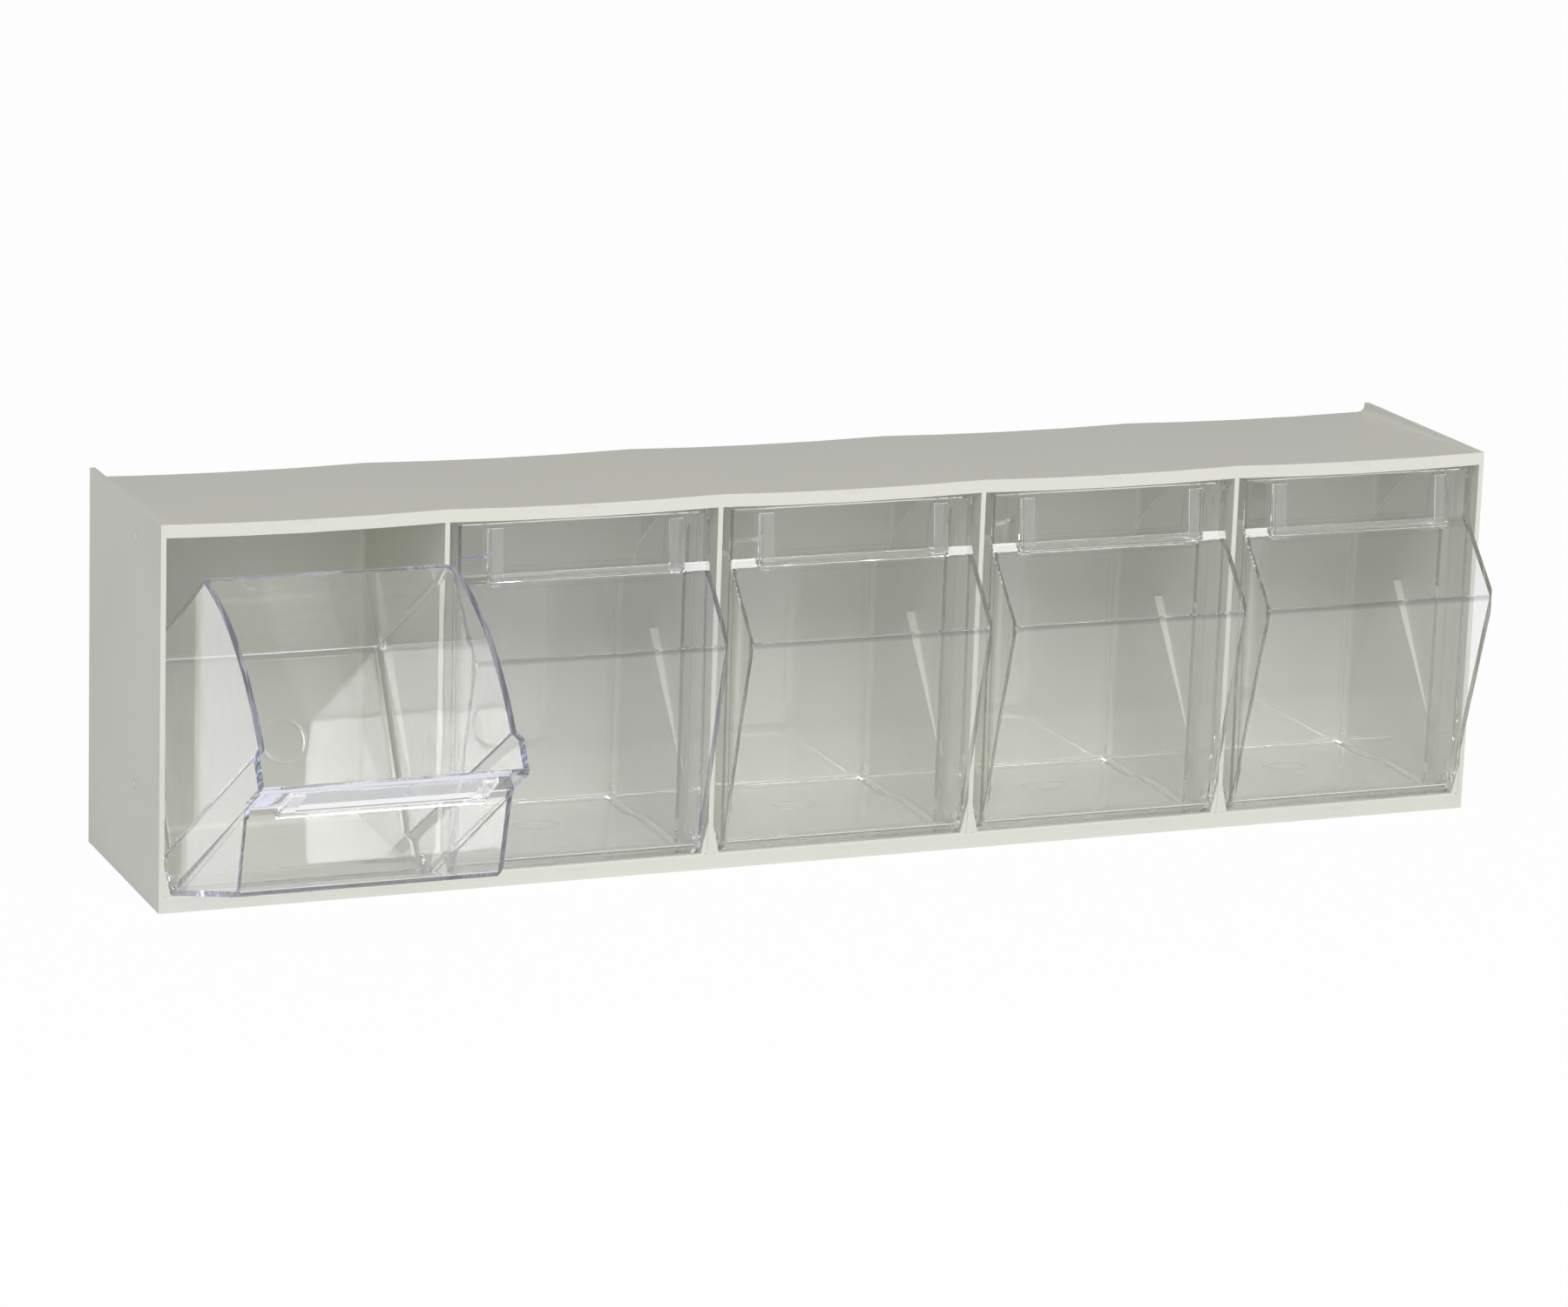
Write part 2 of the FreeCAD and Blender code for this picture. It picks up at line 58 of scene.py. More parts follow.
# Sizes in millimetres, from the front plane and the underside of the housing, as in the CAD model
MM = 0.001
FRONT_PLANE = -54.25
BIN_HALF = 55.22
BIN_UNDER = 4.1
TOE_FOOT = 9.5
TOE_UP = 13.0
RIDGE_UP = 103.3
LEDGE_FOOT = 129.5
LEDGE_UP = 133.7
LEDGE_DEPTH = 2.0
STRIP_TOP = 154.9
STRIP_WALL = 2.5
SIDE_SHEET = 2.5
CHEEK_SET_IN = 0.3
HOLDER_HALF = 42.6
HINGE_BACK = 5.0
HINGE_UP = 13.5
GATE_ASIDE = 3.4
GATE_BACK = 61.5

# Where the photograph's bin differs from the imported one, in millimetres
LEDGE_START = 0.5
LEDGE_LIFT = 0.4
CHEEK_STEP = 0.4
FADE_DEPTH = 10
FADE_TOP = 30
NEAR = 0.1
NEAR_WALL = 0.02
NEAR_LEDGE_UP = 0.15
NEAR_LEDGE_OUT = 0.3

# Clean-up of meshes, in metres
CAD_MERGE = 2e-6
CUT_MERGE = 1e-7
FORM_MERGE = 2e-5
SLIVER = 1e-5
FLAT_ANGLE = math.radians(0.4)
CORNER_ANGLE = math.radians(32)
EDGE_SEGMENTS = 2

# Colour sockets of a Mix node
MIX_A = 6
MIX_B = 7
MIX_RESULT = 2

# Shader values
WHITE = (1, 1, 1, 1)
LAMP_LIGHT_KEPT = (0.985, 0.986, 0.988, 1)
GATE_RELIEF = 1.5
DEEP_RAY = 14.5
FLOOR_WHITE = 0.97

# Floor, lamps and camera, in metres and degrees
FLOOR_HALF = 6
FLOOR_UP = -0.0003
LAMP_AIM = (0, 0, 0.08)
LAMPS = {
    "key": ((-0.45, -2.1, 2.3), 1.7, 1.2),
    "front": ((-1.3, -3.1, 0.9), 2.0, 1.2),
    "glint": ((1.19, -2.28, 1.74), 0.75, 0.4),
}
CAMERA_AZIMUTH = -22.48251
CAMERA_HEIGHT = 14.31966
CAMERA_ROLL = 2.022854
CAMERA_TARGET = (0, 0.00575, 0.08)
CAMERA_ASIDE = -0.004188592
CAMERA_ABOVE = -0.004651802
CAMERA_DISTANCE = 2.41613537
SENSOR_WIDTH = 36


# Sizes and colours that a user would change

class HousingLooks(bpy.types.PropertyGroup):
    """Finish of the moulded housing."""

    colour: bpy.props.FloatVectorProperty(
        name="Colour", description="Off-white of the moulding", subtype="COLOR",
        size=3, min=0, max=1, default=(0.75, 0.752, 0.685))
    shade: bpy.props.FloatVectorProperty(
        name="Shade", description="Slightly duller tone that the colour drifts to", subtype="COLOR",
        size=3, min=0, max=1, default=(0.715, 0.717, 0.645))
    roughness: bpy.props.FloatProperty(
        name="Roughness", description="Roughness of the satin mould finish", subtype="FACTOR",
        min=0, max=1, default=0.38)
    grain: bpy.props.FloatProperty(
        name="Grain", description="Size of the fine grain of the mould", unit="LENGTH",
        min=0.0001, max=0.01, default=0.0009)
    edge: bpy.props.FloatProperty(
        name="Edge radius", description="Softness of the moulding's outer edges", unit="LENGTH",
        min=0, max=0.002, default=0.00035)


class BinLooks(bpy.types.PropertyGroup):
    """Finish of the clear bins."""

    cool: bpy.props.FloatVectorProperty(
        name="Cool tint", description="Colour that light keeps on a long way through a cool bin",
        subtype="COLOR", size=3, min=0, max=1, default=(0.36, 0.40, 0.70))
    neutral: bpy.props.FloatVectorProperty(
        name="Neutral tint",
        description="Colour that light keeps on a long way through a neutral bin",
        subtype="COLOR", size=3, min=0, max=1, default=(0.55, 0.56, 0.54))
    # Painted shade: this grey is painted into the clear bins' colour along the ridge, standing in
    # for the dark line that refraction makes there
    line: bpy.props.FloatVectorProperty(
        name="Ridge line",
        description="Tone of the thin line that the light leaves along the ridge",
        subtype="COLOR", size=3, min=0, max=1, default=(0.50, 0.50, 0.53))
    density: bpy.props.FloatProperty(
        name="Density", description="How fast the plastic takes up light, per metre",
        min=0, max=200, default=5)
    ior: bpy.props.FloatProperty(
        name="Refraction", description="Index of refraction of the plastic",
        min=1, max=2, default=1.57)
    roughness: bpy.props.FloatProperty(
        name="Roughness", description="Roughness of the polished faces", subtype="FACTOR",
        min=0, max=1, default=0.02)
    edge: bpy.props.FloatProperty(
        name="Edge radius", description="Softness of the bins' edges", unit="LENGTH",
        min=0, max=0.002, default=0.00025)
    ridge: bpy.props.FloatProperty(
        name="Ridge reach", description="How far the ridge is drawn out past the packed bin's",
        unit="LENGTH", min=0, max=0.01, default=0.0025)
    cheek: bpy.props.FloatProperty(
        name="Cheek wall", description="Thickness of the thin cheeks in front of the sides",
        unit="LENGTH", min=0.0005, max=0.0022, default=0.0015)
    pitch: bpy.props.FloatProperty(
        name="Pitch", description="Distance from one bay to the next", unit="LENGTH",
        min=0.01, max=1, default=0.11954)
    tilt: bpy.props.FloatProperty(
        name="Tilt", description="How far the open bin leans out", subtype="ANGLE",
        min=0, max=1.2, default=math.radians(58.7))


class StageLooks(bpy.types.PropertyGroup):
    """Floor, lights and camera."""

    floor: bpy.props.FloatVectorProperty(
        name="Floor", description="Colour of the floor", subtype="COLOR",
        size=3, min=0, max=1, default=(0.90, 0.90, 0.90))
    ambient: bpy.props.FloatProperty(
        name="Ambient", description="Strength of the even light from all round",
        min=0, max=5, default=0.29)
    key: bpy.props.FloatProperty(
        name="Key", description="Power of the large light in front and above", unit="POWER",
        min=0, max=500, default=48)
    front: bpy.props.FloatProperty(
        name="Front light", description="Power of the wide light at the camera's height",
        unit="POWER", min=0, max=500, default=13)
    glint: bpy.props.FloatProperty(
        name="Glint", description="Power of the weak panel that the strips' ledges show",
        unit="POWER", min=0, max=500, default=10)
    lens: bpy.props.FloatProperty(
        name="Lens", description="Focal length of the camera", unit="CAMERA",
        min=10, max=400, default=128.314)


def looks(group):
    """The scene's settings of one group."""
    return getattr(bpy.context.scene, group)


# Shader helpers

def new_material(name):
    """Empty material with an output node."""
    material = bpy.data.materials.new(name)
    material.use_nodes = True
    tree = material.node_tree
    tree.nodes.clear()
    output = tree.nodes.new("ShaderNodeOutputMaterial")
    output.location = (900, 0)
    return material, tree, output


def add_node(tree, kind, place, **settings):
    """Node of a kind at a place in the tree, with its settings."""
    node = tree.nodes.new(kind)
    node.location = place
    for key, value in settings.items():
        setattr(node, key, value)
    return node


def set_inputs(node, **values):
    """Plain values on a node's inputs, their names written with _ for a space."""
    for key, value in values.items():
        node.inputs[key.replace("_", " ")].default_value = value


def maths(tree, place, operation, *values):
    """Result of a Math node, each value being another node's output or a plain number."""
    node = add_node(tree, "ShaderNodeMath", place, operation=operation)
    for socket, value in zip(node.inputs, values):
        if isinstance(value, bpy.types.NodeSocket):
            tree.links.new(value, socket)
        else:
            socket.default_value = value
    return node.outputs[0]


def mixed_shaders(tree, place, share, first, second):
    """Result of two shaders mixed by a share, which is how much the second counts."""
    node = add_node(tree, "ShaderNodeMixShader", place)
    for socket, value in zip(node.inputs, (share, first, second)):
        tree.links.new(value, socket)
    return node.outputs[0]


def effect_group(name, inputs, outputs):
    """New shader node group with named sockets: (name, kind, default) or (name, kind) each."""
    group = bpy.data.node_groups.new(name, "ShaderNodeTree")
    for label, kind, default in inputs:
        socket = group.interface.new_socket(label, in_out="INPUT", socket_type=kind)
        socket.default_value = default
    for label, kind in outputs:
        group.interface.new_socket(label, in_out="OUTPUT", socket_type=kind)
    start = add_node(group, "NodeGroupInput", (-900, 0))
    end = add_node(group, "NodeGroupOutput", (900, 0))
    return group, start, end


def moulded_skin_group():
    """Drift of tone, roughness and fine relief that any moulded plastic face has."""
    group, start, end = effect_group(
        "Moulded skin",
        [
            ("Colour", "NodeSocketColor", (0.8, 0.8, 0.8, 1)),
            ("Shade", "NodeSocketColor", (0.7, 0.7, 0.7, 1)),
            ("Roughness", "NodeSocketFloat", 0.4),
            ("Roughness drift", "NodeSocketFloat", 0.08),
            ("Grain scale", "NodeSocketFloat", 1000),
            ("Flow scale", "NodeSocketFloat", 9),
        ],
        [
            ("Colour", "NodeSocketColor"),
            ("Roughness", "NodeSocketFloat"),
            ("Relief", "NodeSocketFloat"),
        ],
    )
    link = group.links.new
    place = add_node(group, "ShaderNodeTexCoord", (-900, -300))
    flow = add_node(group, "ShaderNodeTexNoise", (-600, 200))
    set_inputs(flow, Detail=3, Roughness=0.5, Distortion=0.6)
    link(place.outputs["Object"], flow.inputs["Vector"])
    link(start.outputs["Flow scale"], flow.inputs["Scale"])
    grain = add_node(group, "ShaderNodeTexNoise", (-600, -300))
    set_inputs(grain, Detail=2, Roughness=0.55)
    link(place.outputs["Object"], grain.inputs["Vector"])
    link(start.outputs["Grain scale"], grain.inputs["Scale"])
    tone = add_node(group, "ShaderNodeMix", (0, 200), data_type="RGBA")
    link(flow.outputs["Fac"], tone.inputs["Factor"])
    link(start.outputs["Colour"], tone.inputs[MIX_A])
    link(start.outputs["Shade"], tone.inputs[MIX_B])
    link(tone.outputs[MIX_RESULT], end.inputs["Colour"])
    centred = maths(group, (-300, -100), "SUBTRACT", flow.outputs["Fac"], 0.5)
    drift = maths(group, (0, -100), "MULTIPLY_ADD",
                  centred, start.outputs["Roughness drift"], start.outputs["Roughness"])
    link(drift, end.inputs["Roughness"])
    link(grain.outputs["Fac"], end.inputs["Relief"])
    return group


def handling_marks_group():
    """Sparse fine scratches and specks left by handling and small goods."""
    group, start, end = effect_group(
        "Handling marks",
        [("Scale", "NodeSocketFloat", 60), ("Amount", "NodeSocketFloat", 0.5)],
        [("Mask", "NodeSocketFloat")],
    )
    link = group.links.new
    place = add_node(group, "ShaderNodeTexCoord", (-900, -300))
    stretch = add_node(group, "ShaderNodeMapping", (-700, -200))
    set_inputs(stretch, Rotation=(0.4, 0.9, 0.6), Scale=(1, 0.06, 1))
    link(place.outputs["Object"], stretch.inputs["Vector"])
    lines = add_node(group, "ShaderNodeTexNoise", (-450, -200))
    set_inputs(lines, Detail=6, Roughness=0.75, Distortion=0.4)
    link(stretch.outputs[0], lines.inputs["Vector"])
    link(start.outputs["Scale"], lines.inputs["Scale"])
    thin = add_node(group, "ShaderNodeMapRange", (-150, -200))
    set_inputs(thin, From_Min=0.64, From_Max=0.74)
    link(lines.outputs["Fac"], thin.inputs["Value"])
    patches = add_node(group, "ShaderNodeTexNoise", (-450, 200))
    set_inputs(patches, Scale=14, Detail=2)
    link(place.outputs["Object"], patches.inputs["Vector"])
    spread = add_node(group, "ShaderNodeMapRange", (-150, 200))
    set_inputs(spread, From_Min=0.45, From_Max=0.7)
    link(patches.outputs["Fac"], spread.inputs["Value"])
    both = maths(group, (150, 0), "MULTIPLY", thin.outputs[0], spread.outputs[0])
    amount = maths(group, (400, 0), "MULTIPLY", both, start.outputs["Amount"])
    link(amount, end.inputs["Mask"])
    return group


def gate_ring_group():
    """Faint ring that the mould's gate leaves in the middle of a floor, read from the plan map."""
    group, start, end = effect_group(
        "Gate ring",
        [("Radius", "NodeSocketFloat", 0.0095), ("Width", "NodeSocketFloat", 0.0007)],
        [("Mask", "NodeSocketFloat")],
    )
    link = group.links.new
    place = add_node(group, "ShaderNodeUVMap", (-900, -300), uv_map="plan")
    reach = add_node(group, "ShaderNodeVectorMath", (-600, -200), operation="LENGTH")
    link(place.outputs[0], reach.inputs[0])
    ring = maths(group, (-300, -100), "SUBTRACT", reach.outputs["Value"], start.outputs["Radius"])
    off = maths(group, (-100, -100), "ABSOLUTE", ring)
    mask = add_node(group, "ShaderNodeMapRange", (200, -100))
    set_inputs(mask, From_Min=0, To_Min=1, To_Max=0)
    link(off, mask.inputs["Value"])
    link(start.outputs["Width"], mask.inputs["From Max"])
    link(mask.outputs[0], end.inputs["Mask"])
    return group


def painted_ridge_shade_group():
    """Narrow band of painted shade along the foremost edge of a bin, read from the plan map."""
    group, start, end = effect_group(
        "Ridge line",
        [("Begin", "NodeSocketFloat", -0.0883), ("Full", "NodeSocketFloat", -0.0887)],
        [("Mask", "NodeSocketFloat")],
    )
    link = group.links.new
    place = add_node(group, "ShaderNodeUVMap", (-900, -300), uv_map="plan")
    parts = add_node(group, "ShaderNodeSeparateXYZ", (-600, -200))
    link(place.outputs[0], parts.inputs[0])
    mask = add_node(group, "ShaderNodeMapRange", (-200, -100))
    link(parts.outputs["Y"], mask.inputs["Value"])
    link(start.outputs["Begin"], mask.inputs["From Min"])
    link(start.outputs["Full"], mask.inputs["From Max"])
    link(mask.outputs[0], end.inputs["Mask"])
    return group


def place_group(tree, name, maker, place):
    """Node of a group that is made once and used again."""
    node = add_node(tree, "ShaderNodeGroup", place)
    node.node_tree = bpy.data.node_groups.get(name) or maker()
    return node


def opaque(colour):
    """A colour with full alpha."""
    return (colour[0], colour[1], colour[2], 1)


def housing_material():
    """Off-white satin plastic."""
    wish = looks("housing_looks")
    material, tree, output = new_material("housing_plastic")
    link = tree.links.new
    shader = add_node(tree, "ShaderNodeBsdfPrincipled", (600, 0))
    set_inputs(shader, IOR=1.5)
    skin = place_group(tree, "Moulded skin", moulded_skin_group, (-300, 0))
    set_inputs(skin, Colour=opaque(wish.colour), Shade=opaque(wish.shade),
               Roughness=wish.roughness, Roughness_drift=0.16,
               Grain_scale=1 / wish.grain, Flow_scale=11)
    marks = place_group(tree, "Handling marks", handling_marks_group, (-300, -400))
    set_inputs(marks, Scale=70, Amount=0.10)
    dull = maths(tree, (0, -200), "ADD", skin.outputs["Roughness"], marks.outputs["Mask"])
    relief = add_node(tree, "ShaderNodeBump", (300, -300))
    set_inputs(relief, Strength=0.05, Distance=0.00005)
    link(skin.outputs["Relief"], relief.inputs["Height"])
    link(skin.outputs["Colour"], shader.inputs["Base Color"])
    link(dull, shader.inputs["Roughness"])
    link(relief.outputs["Normal"], shader.inputs["Normal"])
    link(shader.outputs[0], output.inputs["Surface"])
    return material


def clear_material(name, tint):
    """Clear moulded plastic that lets the lamps' light through and is tinted in its depth.

    A ray that has been thrown about inside the walls for long goes straight on, since one that
    ran out of bounces there would leave the edges black.
    """
    wish = looks("bin_looks")
    material, tree, output = new_material(name)
    link = tree.links.new
    shader = add_node(tree, "ShaderNodeBsdfPrincipled", (300, 100))
    set_inputs(shader, IOR=wish.ior, Transmission_Weight=1)
    skin = place_group(tree, "Moulded skin", moulded_skin_group, (-600, 0))
    set_inputs(skin, Roughness=wish.roughness, Roughness_drift=0.02, Grain_scale=26, Flow_scale=24)
    marks = place_group(tree, "Handling marks", handling_marks_group, (-600, -400))
    set_inputs(marks, Scale=90, Amount=0.16)
    # Painted shade: along the ridge the base colour goes from white to the ridge grey, standing in
    # for the dark line that refraction makes there
    line = place_group(tree, "Ridge line", painted_ridge_shade_group, (-600, 300))
    tone = add_node(tree, "ShaderNodeMix", (-100, 250), data_type="RGBA")
    link(line.outputs["Mask"], tone.inputs["Factor"])
    tone.inputs[MIX_A].default_value = WHITE
    tone.inputs[MIX_B].default_value = opaque(wish.line)
    link(tone.outputs[MIX_RESULT], shader.inputs["Base Color"])
    dull = maths(tree, (-300, -200), "ADD", skin.outputs["Roughness"], marks.outputs["Mask"])
    gate = place_group(tree, "Gate ring", gate_ring_group, (-600, -600))
    both = maths(tree, (-300, -500), "MULTIPLY_ADD",
                 gate.outputs["Mask"], GATE_RELIEF, skin.outputs["Relief"])
    relief = add_node(tree, "ShaderNodeBump", (0, -300))
    set_inputs(relief, Strength=0.25, Distance=0.0006)
    link(both, relief.inputs["Height"])
    link(dull, shader.inputs["Roughness"])
    link(relief.outputs["Normal"], shader.inputs["Normal"])
    through = add_node(tree, "ShaderNodeBsdfTransparent", (300, -300))
    set_inputs(through, Color=LAMP_LIGHT_KEPT)
    path = add_node(tree, "ShaderNodeLightPath", (-200, 500)).outputs
    lamps = maths(tree, (0, 400), "MAXIMUM", path["Is Shadow Ray"], path["Is Diffuse Ray"])
    caught = maths(tree, (0, 600), "GREATER_THAN", path["Ray Depth"], DEEP_RAY)
    past = maths(tree, (300, 400), "MAXIMUM", lamps, caught)
    surface = mixed_shaders(tree, (600, 100), past, shader.outputs[0], through.outputs[0])
    link(surface, output.inputs["Surface"])
    depth = add_node(tree, "ShaderNodeVolumeAbsorption", (600, -200))
    set_inputs(depth, Color=opaque(tint), Density=wish.density)
    link(depth.outputs[0], output.inputs["Volume"])
    return material


def floor_material():
    """Plain pale floor that shows white and keeps soft shadows."""
    material, tree, output = new_material("floor")
    matte = add_node(tree, "ShaderNodeBsdfDiffuse", (0, 100))
    set_inputs(matte, Color=opaque(looks("stage_looks").floor))
    white = add_node(tree, "ShaderNodeEmission", (0, -100))
    set_inputs(white, Strength=1)
    path = add_node(tree, "ShaderNodeLightPath", (-400, 400)).outputs
    seen = maths(tree, (-200, 400), "MAXIMUM", path["Is Camera Ray"], path["Is Glossy Ray"])
    also = maths(tree, (0, 400), "MAXIMUM", seen, path["Is Transmission Ray"])
    share = maths(tree, (200, 400), "MULTIPLY", also, FLOOR_WHITE)
    surface = mixed_shaders(tree, (400, 0), share, matte.outputs[0], white.outputs[0])
    tree.links.new(surface, output.inputs["Surface"])
    return material


# Mesh helpers

def cad_copy(node):
    """Merged copy of a CAD node's mesh, with its flat faces whole again."""
    mesh = bmesh.new()
    mesh.from_mesh(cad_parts[node].data)
    bmesh.ops.remove_doubles(mesh, verts=mesh.verts, dist=CAD_MERGE)
    bmesh.ops.dissolve_limit(
        mesh, angle_limit=FLAT_ANGLE, use_dissolve_boundaries=False,
        verts=mesh.verts, edges=mesh.edges)
    return mesh


def front_shift(z, reach):
    """How far back and up, in millimetres, the photograph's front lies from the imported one."""
    levels = (
        (BIN_UNDER, 0.5, 0),
        (TOE_FOOT, 0.94, -1.45),
        (TOE_UP, -2.6, 0.88),
        (RIDGE_UP, -reach, 0.9),
        (LEDGE_FOOT, -0.1, 1.2),
        (LEDGE_UP, 0, LEDGE_LIFT),
        (STRIP_TOP, 0, 0),
    )
    for (low, back, up), (high, high_back, high_up) in zip(levels, levels[1:]):
        if low <= z <= high:
            share = (z - low) / (high - low)
            return back + (high_back - back) * share, up + (high_up - up) * share
    return 0, 0


def drawn_out(mesh):
    """Bring the bin's front to the photograph's ridge, ledge and toe, with its cheeks thin."""
    wish = looks("bin_looks")
    reach = wish.ridge / MM
    inner = BIN_HALF - SIDE_SHEET
    thin = BIN_HALF - CHEEK_SET_IN - wish.cheek / MM
    step = -wish.cheek / MM
    for back in (step, step - CHEEK_STEP):
        bmesh.ops.bisect_plane(
            mesh, geom=mesh.verts[:] + mesh.edges[:] + mesh.faces[:], dist=CUT_MERGE,
            plane_co=(0, (back + FRONT_PLANE) * MM, 0), plane_no=(0, 1, 0))
    for vert in mesh.verts:
        x = vert.co.x / MM
        y = vert.co.y / MM - FRONT_PLANE
        z = vert.co.z / MM
        if abs(x) > BIN_HALF - CHEEK_SET_IN / 2:
            continue
        if y < step - CHEEK_STEP / 2 and abs(abs(x) - inner) < NEAR_WALL:
            vert.co.x = math.copysign(thin, x) * MM
        behind = y > STRIP_WALL + NEAR
        if behind and z > FADE_TOP:
            continue
        weight = max(0, 1 - (y - STRIP_WALL) / FADE_DEPTH) if behind else 1
        back, up = front_shift(z, reach)
        vert.co.y += back * weight * MM
        vert.co.z += up * weight * MM
    for vert in mesh.verts:
        x = abs(vert.co.x / MM)
        y = vert.co.y / MM - FRONT_PLANE
        z = vert.co.z / MM
        at_height = abs(z - LEDGE_UP - LEDGE_LIFT) < NEAR_LEDGE_UP
        at_edge = -LEDGE_DEPTH - NEAR_LEDGE_OUT < y < -NEAR
        if at_height and at_edge and x > HOLDER_HALF - NEAR:
            vert.co.y = (FRONT_PLANE - LEDGE_START) * MM
    bmesh.ops.remove_doubles(mesh, verts=mesh.verts, dist=FORM_MERGE)
    bmesh.ops.dissolve_degenerate(mesh, edges=mesh.edges, dist=SLIVER)


def plan_map(mesh):
    """A map of each point's place over the bin's floor, about the gate mark, in metres."""
    layer = mesh.loops.layers.uv.new("plan")
    for face in mesh.faces:
        for loop in face.loops:
            place = loop.vert.co
            loop[layer].uv = (
                place.x - GATE_ASIDE * MM,
                place.y - (GATE_BACK + FRONT_PLANE) * MM,
            )


def softened(name, mesh, width):
    """Object of a mesh with its sharp edges slightly rounded and its flats kept flat."""
    data = bpy.data.meshes.new(name)
    mesh.to_mesh(data)
    mesh.free()
    data.shade_smooth()
    data.set_sharp_from_angle(angle=CORNER_ANGLE)
    piece = bpy.data.objects.new(name, data)
    bpy.context.scene.collection.objects.link(piece)
    edge = piece.modifiers.new("edge", "BEVEL")
    edge.width = width
    edge.segments = EDGE_SEGMENTS
    edge.limit_method = "ANGLE"
    edge.angle_limit = CORNER_ANGLE
    edge.harden_normals = True
    edge.use_clamp_overlap = True
    flats = piece.modifiers.new("flats", "WEIGHTED_NORMAL")
    flats.keep_sharp = True
    return piece


def plain(piece):
    """The piece with its modifiers made into its mesh."""
    graph = bpy.context.evaluated_depsgraph_get()
    data = bpy.data.meshes.new_from_object(
        piece.evaluated_get(graph), preserve_all_data_layers=True, depsgraph=graph)
    data.name = piece.name
    piece.modifiers.clear()
    piece.data = data
    return piece


def bay_nodes():
    """Geometry nodes that set one bin in its bay and tilt it about its hinge."""
    tree = bpy.data.node_groups.new("Bin in its bay", "GeometryNodeTree")
    inputs = {
        "Geometry": "NodeSocketGeometry",
        "Bays aside": "NodeSocketFloat",
        "Pitch": "NodeSocketFloat",
        "Hinge": "NodeSocketVector",
        "Tilt": "NodeSocketFloat",
        "Material": "NodeSocketMaterial",
    }
    for label, kind in inputs.items():
        tree.interface.new_socket(label, in_out="INPUT", socket_type=kind)
    tree.interface.new_socket("Geometry", in_out="OUTPUT", socket_type="NodeSocketGeometry")
    link = tree.links.new
    start = add_node(tree, "NodeGroupInput", (-900, 0))
    whole = add_node(tree, "GeometryNodeGeometryToInstance", (-600, 200))
    link(start.outputs["Geometry"], whole.inputs[0])
    angle = add_node(tree, "ShaderNodeCombineXYZ", (-600, -100))
    link(start.outputs["Tilt"], angle.inputs[0])
    lean = add_node(tree, "GeometryNodeRotateInstances", (-300, 200))
    set_inputs(lean, Local_Space=False)
    link(whole.outputs[0], lean.inputs["Instances"])
    link(angle.outputs[0], lean.inputs["Rotation"])
    link(start.outputs["Hinge"], lean.inputs["Pivot Point"])
    along = maths(tree, (-600, -300), "MULTIPLY",
                  start.outputs["Bays aside"], start.outputs["Pitch"])
    aside = add_node(tree, "ShaderNodeCombineXYZ", (-300, -200))
    link(along, aside.inputs[0])
    shift = add_node(tree, "GeometryNodeTranslateInstances", (0, 200))
    set_inputs(shift, Local_Space=False)
    link(lean.outputs[0], shift.inputs["Instances"])
    link(aside.outputs[0], shift.inputs["Translation"])
    real = add_node(tree, "GeometryNodeRealizeInstances", (300, 200))
    link(shift.outputs[0], real.inputs[0])
    paint = add_node(tree, "GeometryNodeSetMaterial", (600, 200))
    link(real.outputs[0], paint.inputs["Geometry"])
    link(start.outputs["Material"], paint.inputs["Material"])
    end = add_node(tree, "NodeGroupOutput", (900, 0))
    link(paint.outputs[0], end.inputs[0])
    return tree


def set_bay(piece, tree, values):
    """The tree as a modifier on a piece, its inputs set by their sockets' identifiers."""
    bay = piece.modifiers.new("bay", "NODES")
    bay.node_group = tree
    for item in tree.interface.items_tree:
        if item.in_out == "INPUT" and item.name in values:
            bay[item.identifier] = values[item.name]


# Operators

class TILTBINS_OT_housing(bpy.types.Operator):
    """Make the moulded housing with softened edges, in off-white satin plastic"""

    bl_idname = "tiltbins.housing"
    bl_label = "Make the housing"

    def execute(self, context):
        piece = plain(softened("housing_skin", cad_copy(HOUSING), looks("housing_looks").edge))
        piece.data.materials.clear()
        piece.data.materials.append(housing_material())
        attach(piece, CABINET)
        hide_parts(HOUSING)
        return {"FINISHED"}


class TILTBINS_OT_bins(bpy.types.Operator):
    """Make the clear bin once and set one in each bay, the first leaning out"""

    bl_idname = "tiltbins.bins"
    bl_label = "Make the bins"

    def execute(self, context):
        wish = looks("bin_looks")
        cool = clear_material("clear_cool", wish.cool)
        neutral = clear_material("clear_neutral", wish.neutral)
        mesh = cad_copy(SHUT_BIN)
        drawn_out(mesh)
        plan_map(mesh)
        form = plain(softened("bin_form", mesh, wish.edge))
        tree = bay_nodes()
        for number in range(1, BAYS + 1):
            piece = bpy.data.objects.new("bin_skin_%d" % number, form.data.copy())
            context.scene.collection.objects.link(piece)
            set_bay(piece, tree, {
                "Bays aside": float(number - (BAYS + 1) / 2),
                "Pitch": wish.pitch,
                "Hinge": (0, (FRONT_PLANE + HINGE_BACK) * MM, HINGE_UP * MM),
                "Tilt": wish.tilt if number == OPEN_BIN else 0.0,
                "Material": cool if number in COOL_BINS else neutral,
            })
            plain(piece)
            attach(piece, "bin_body_%d" % number)
            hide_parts("bin_%d" % number)
        bpy.data.objects.remove(form)
        return {"FINISHED"}


def area_light(name, place, width, height, power):
    """Soft white rectangular lamp that looks at the unit."""
    data = bpy.data.lights.new(name, "AREA")
    data.shape = "RECTANGLE"
    data.size = width
    data.size_y = height
    data.energy = power
    lamp = bpy.data.objects.new(name, data)
    bpy.context.scene.collection.objects.link(lamp)
    lamp.location = place
    lamp.rotation_euler = (Vector(LAMP_AIM) - Vector(place)).to_track_quat("-Z", "Y").to_euler()


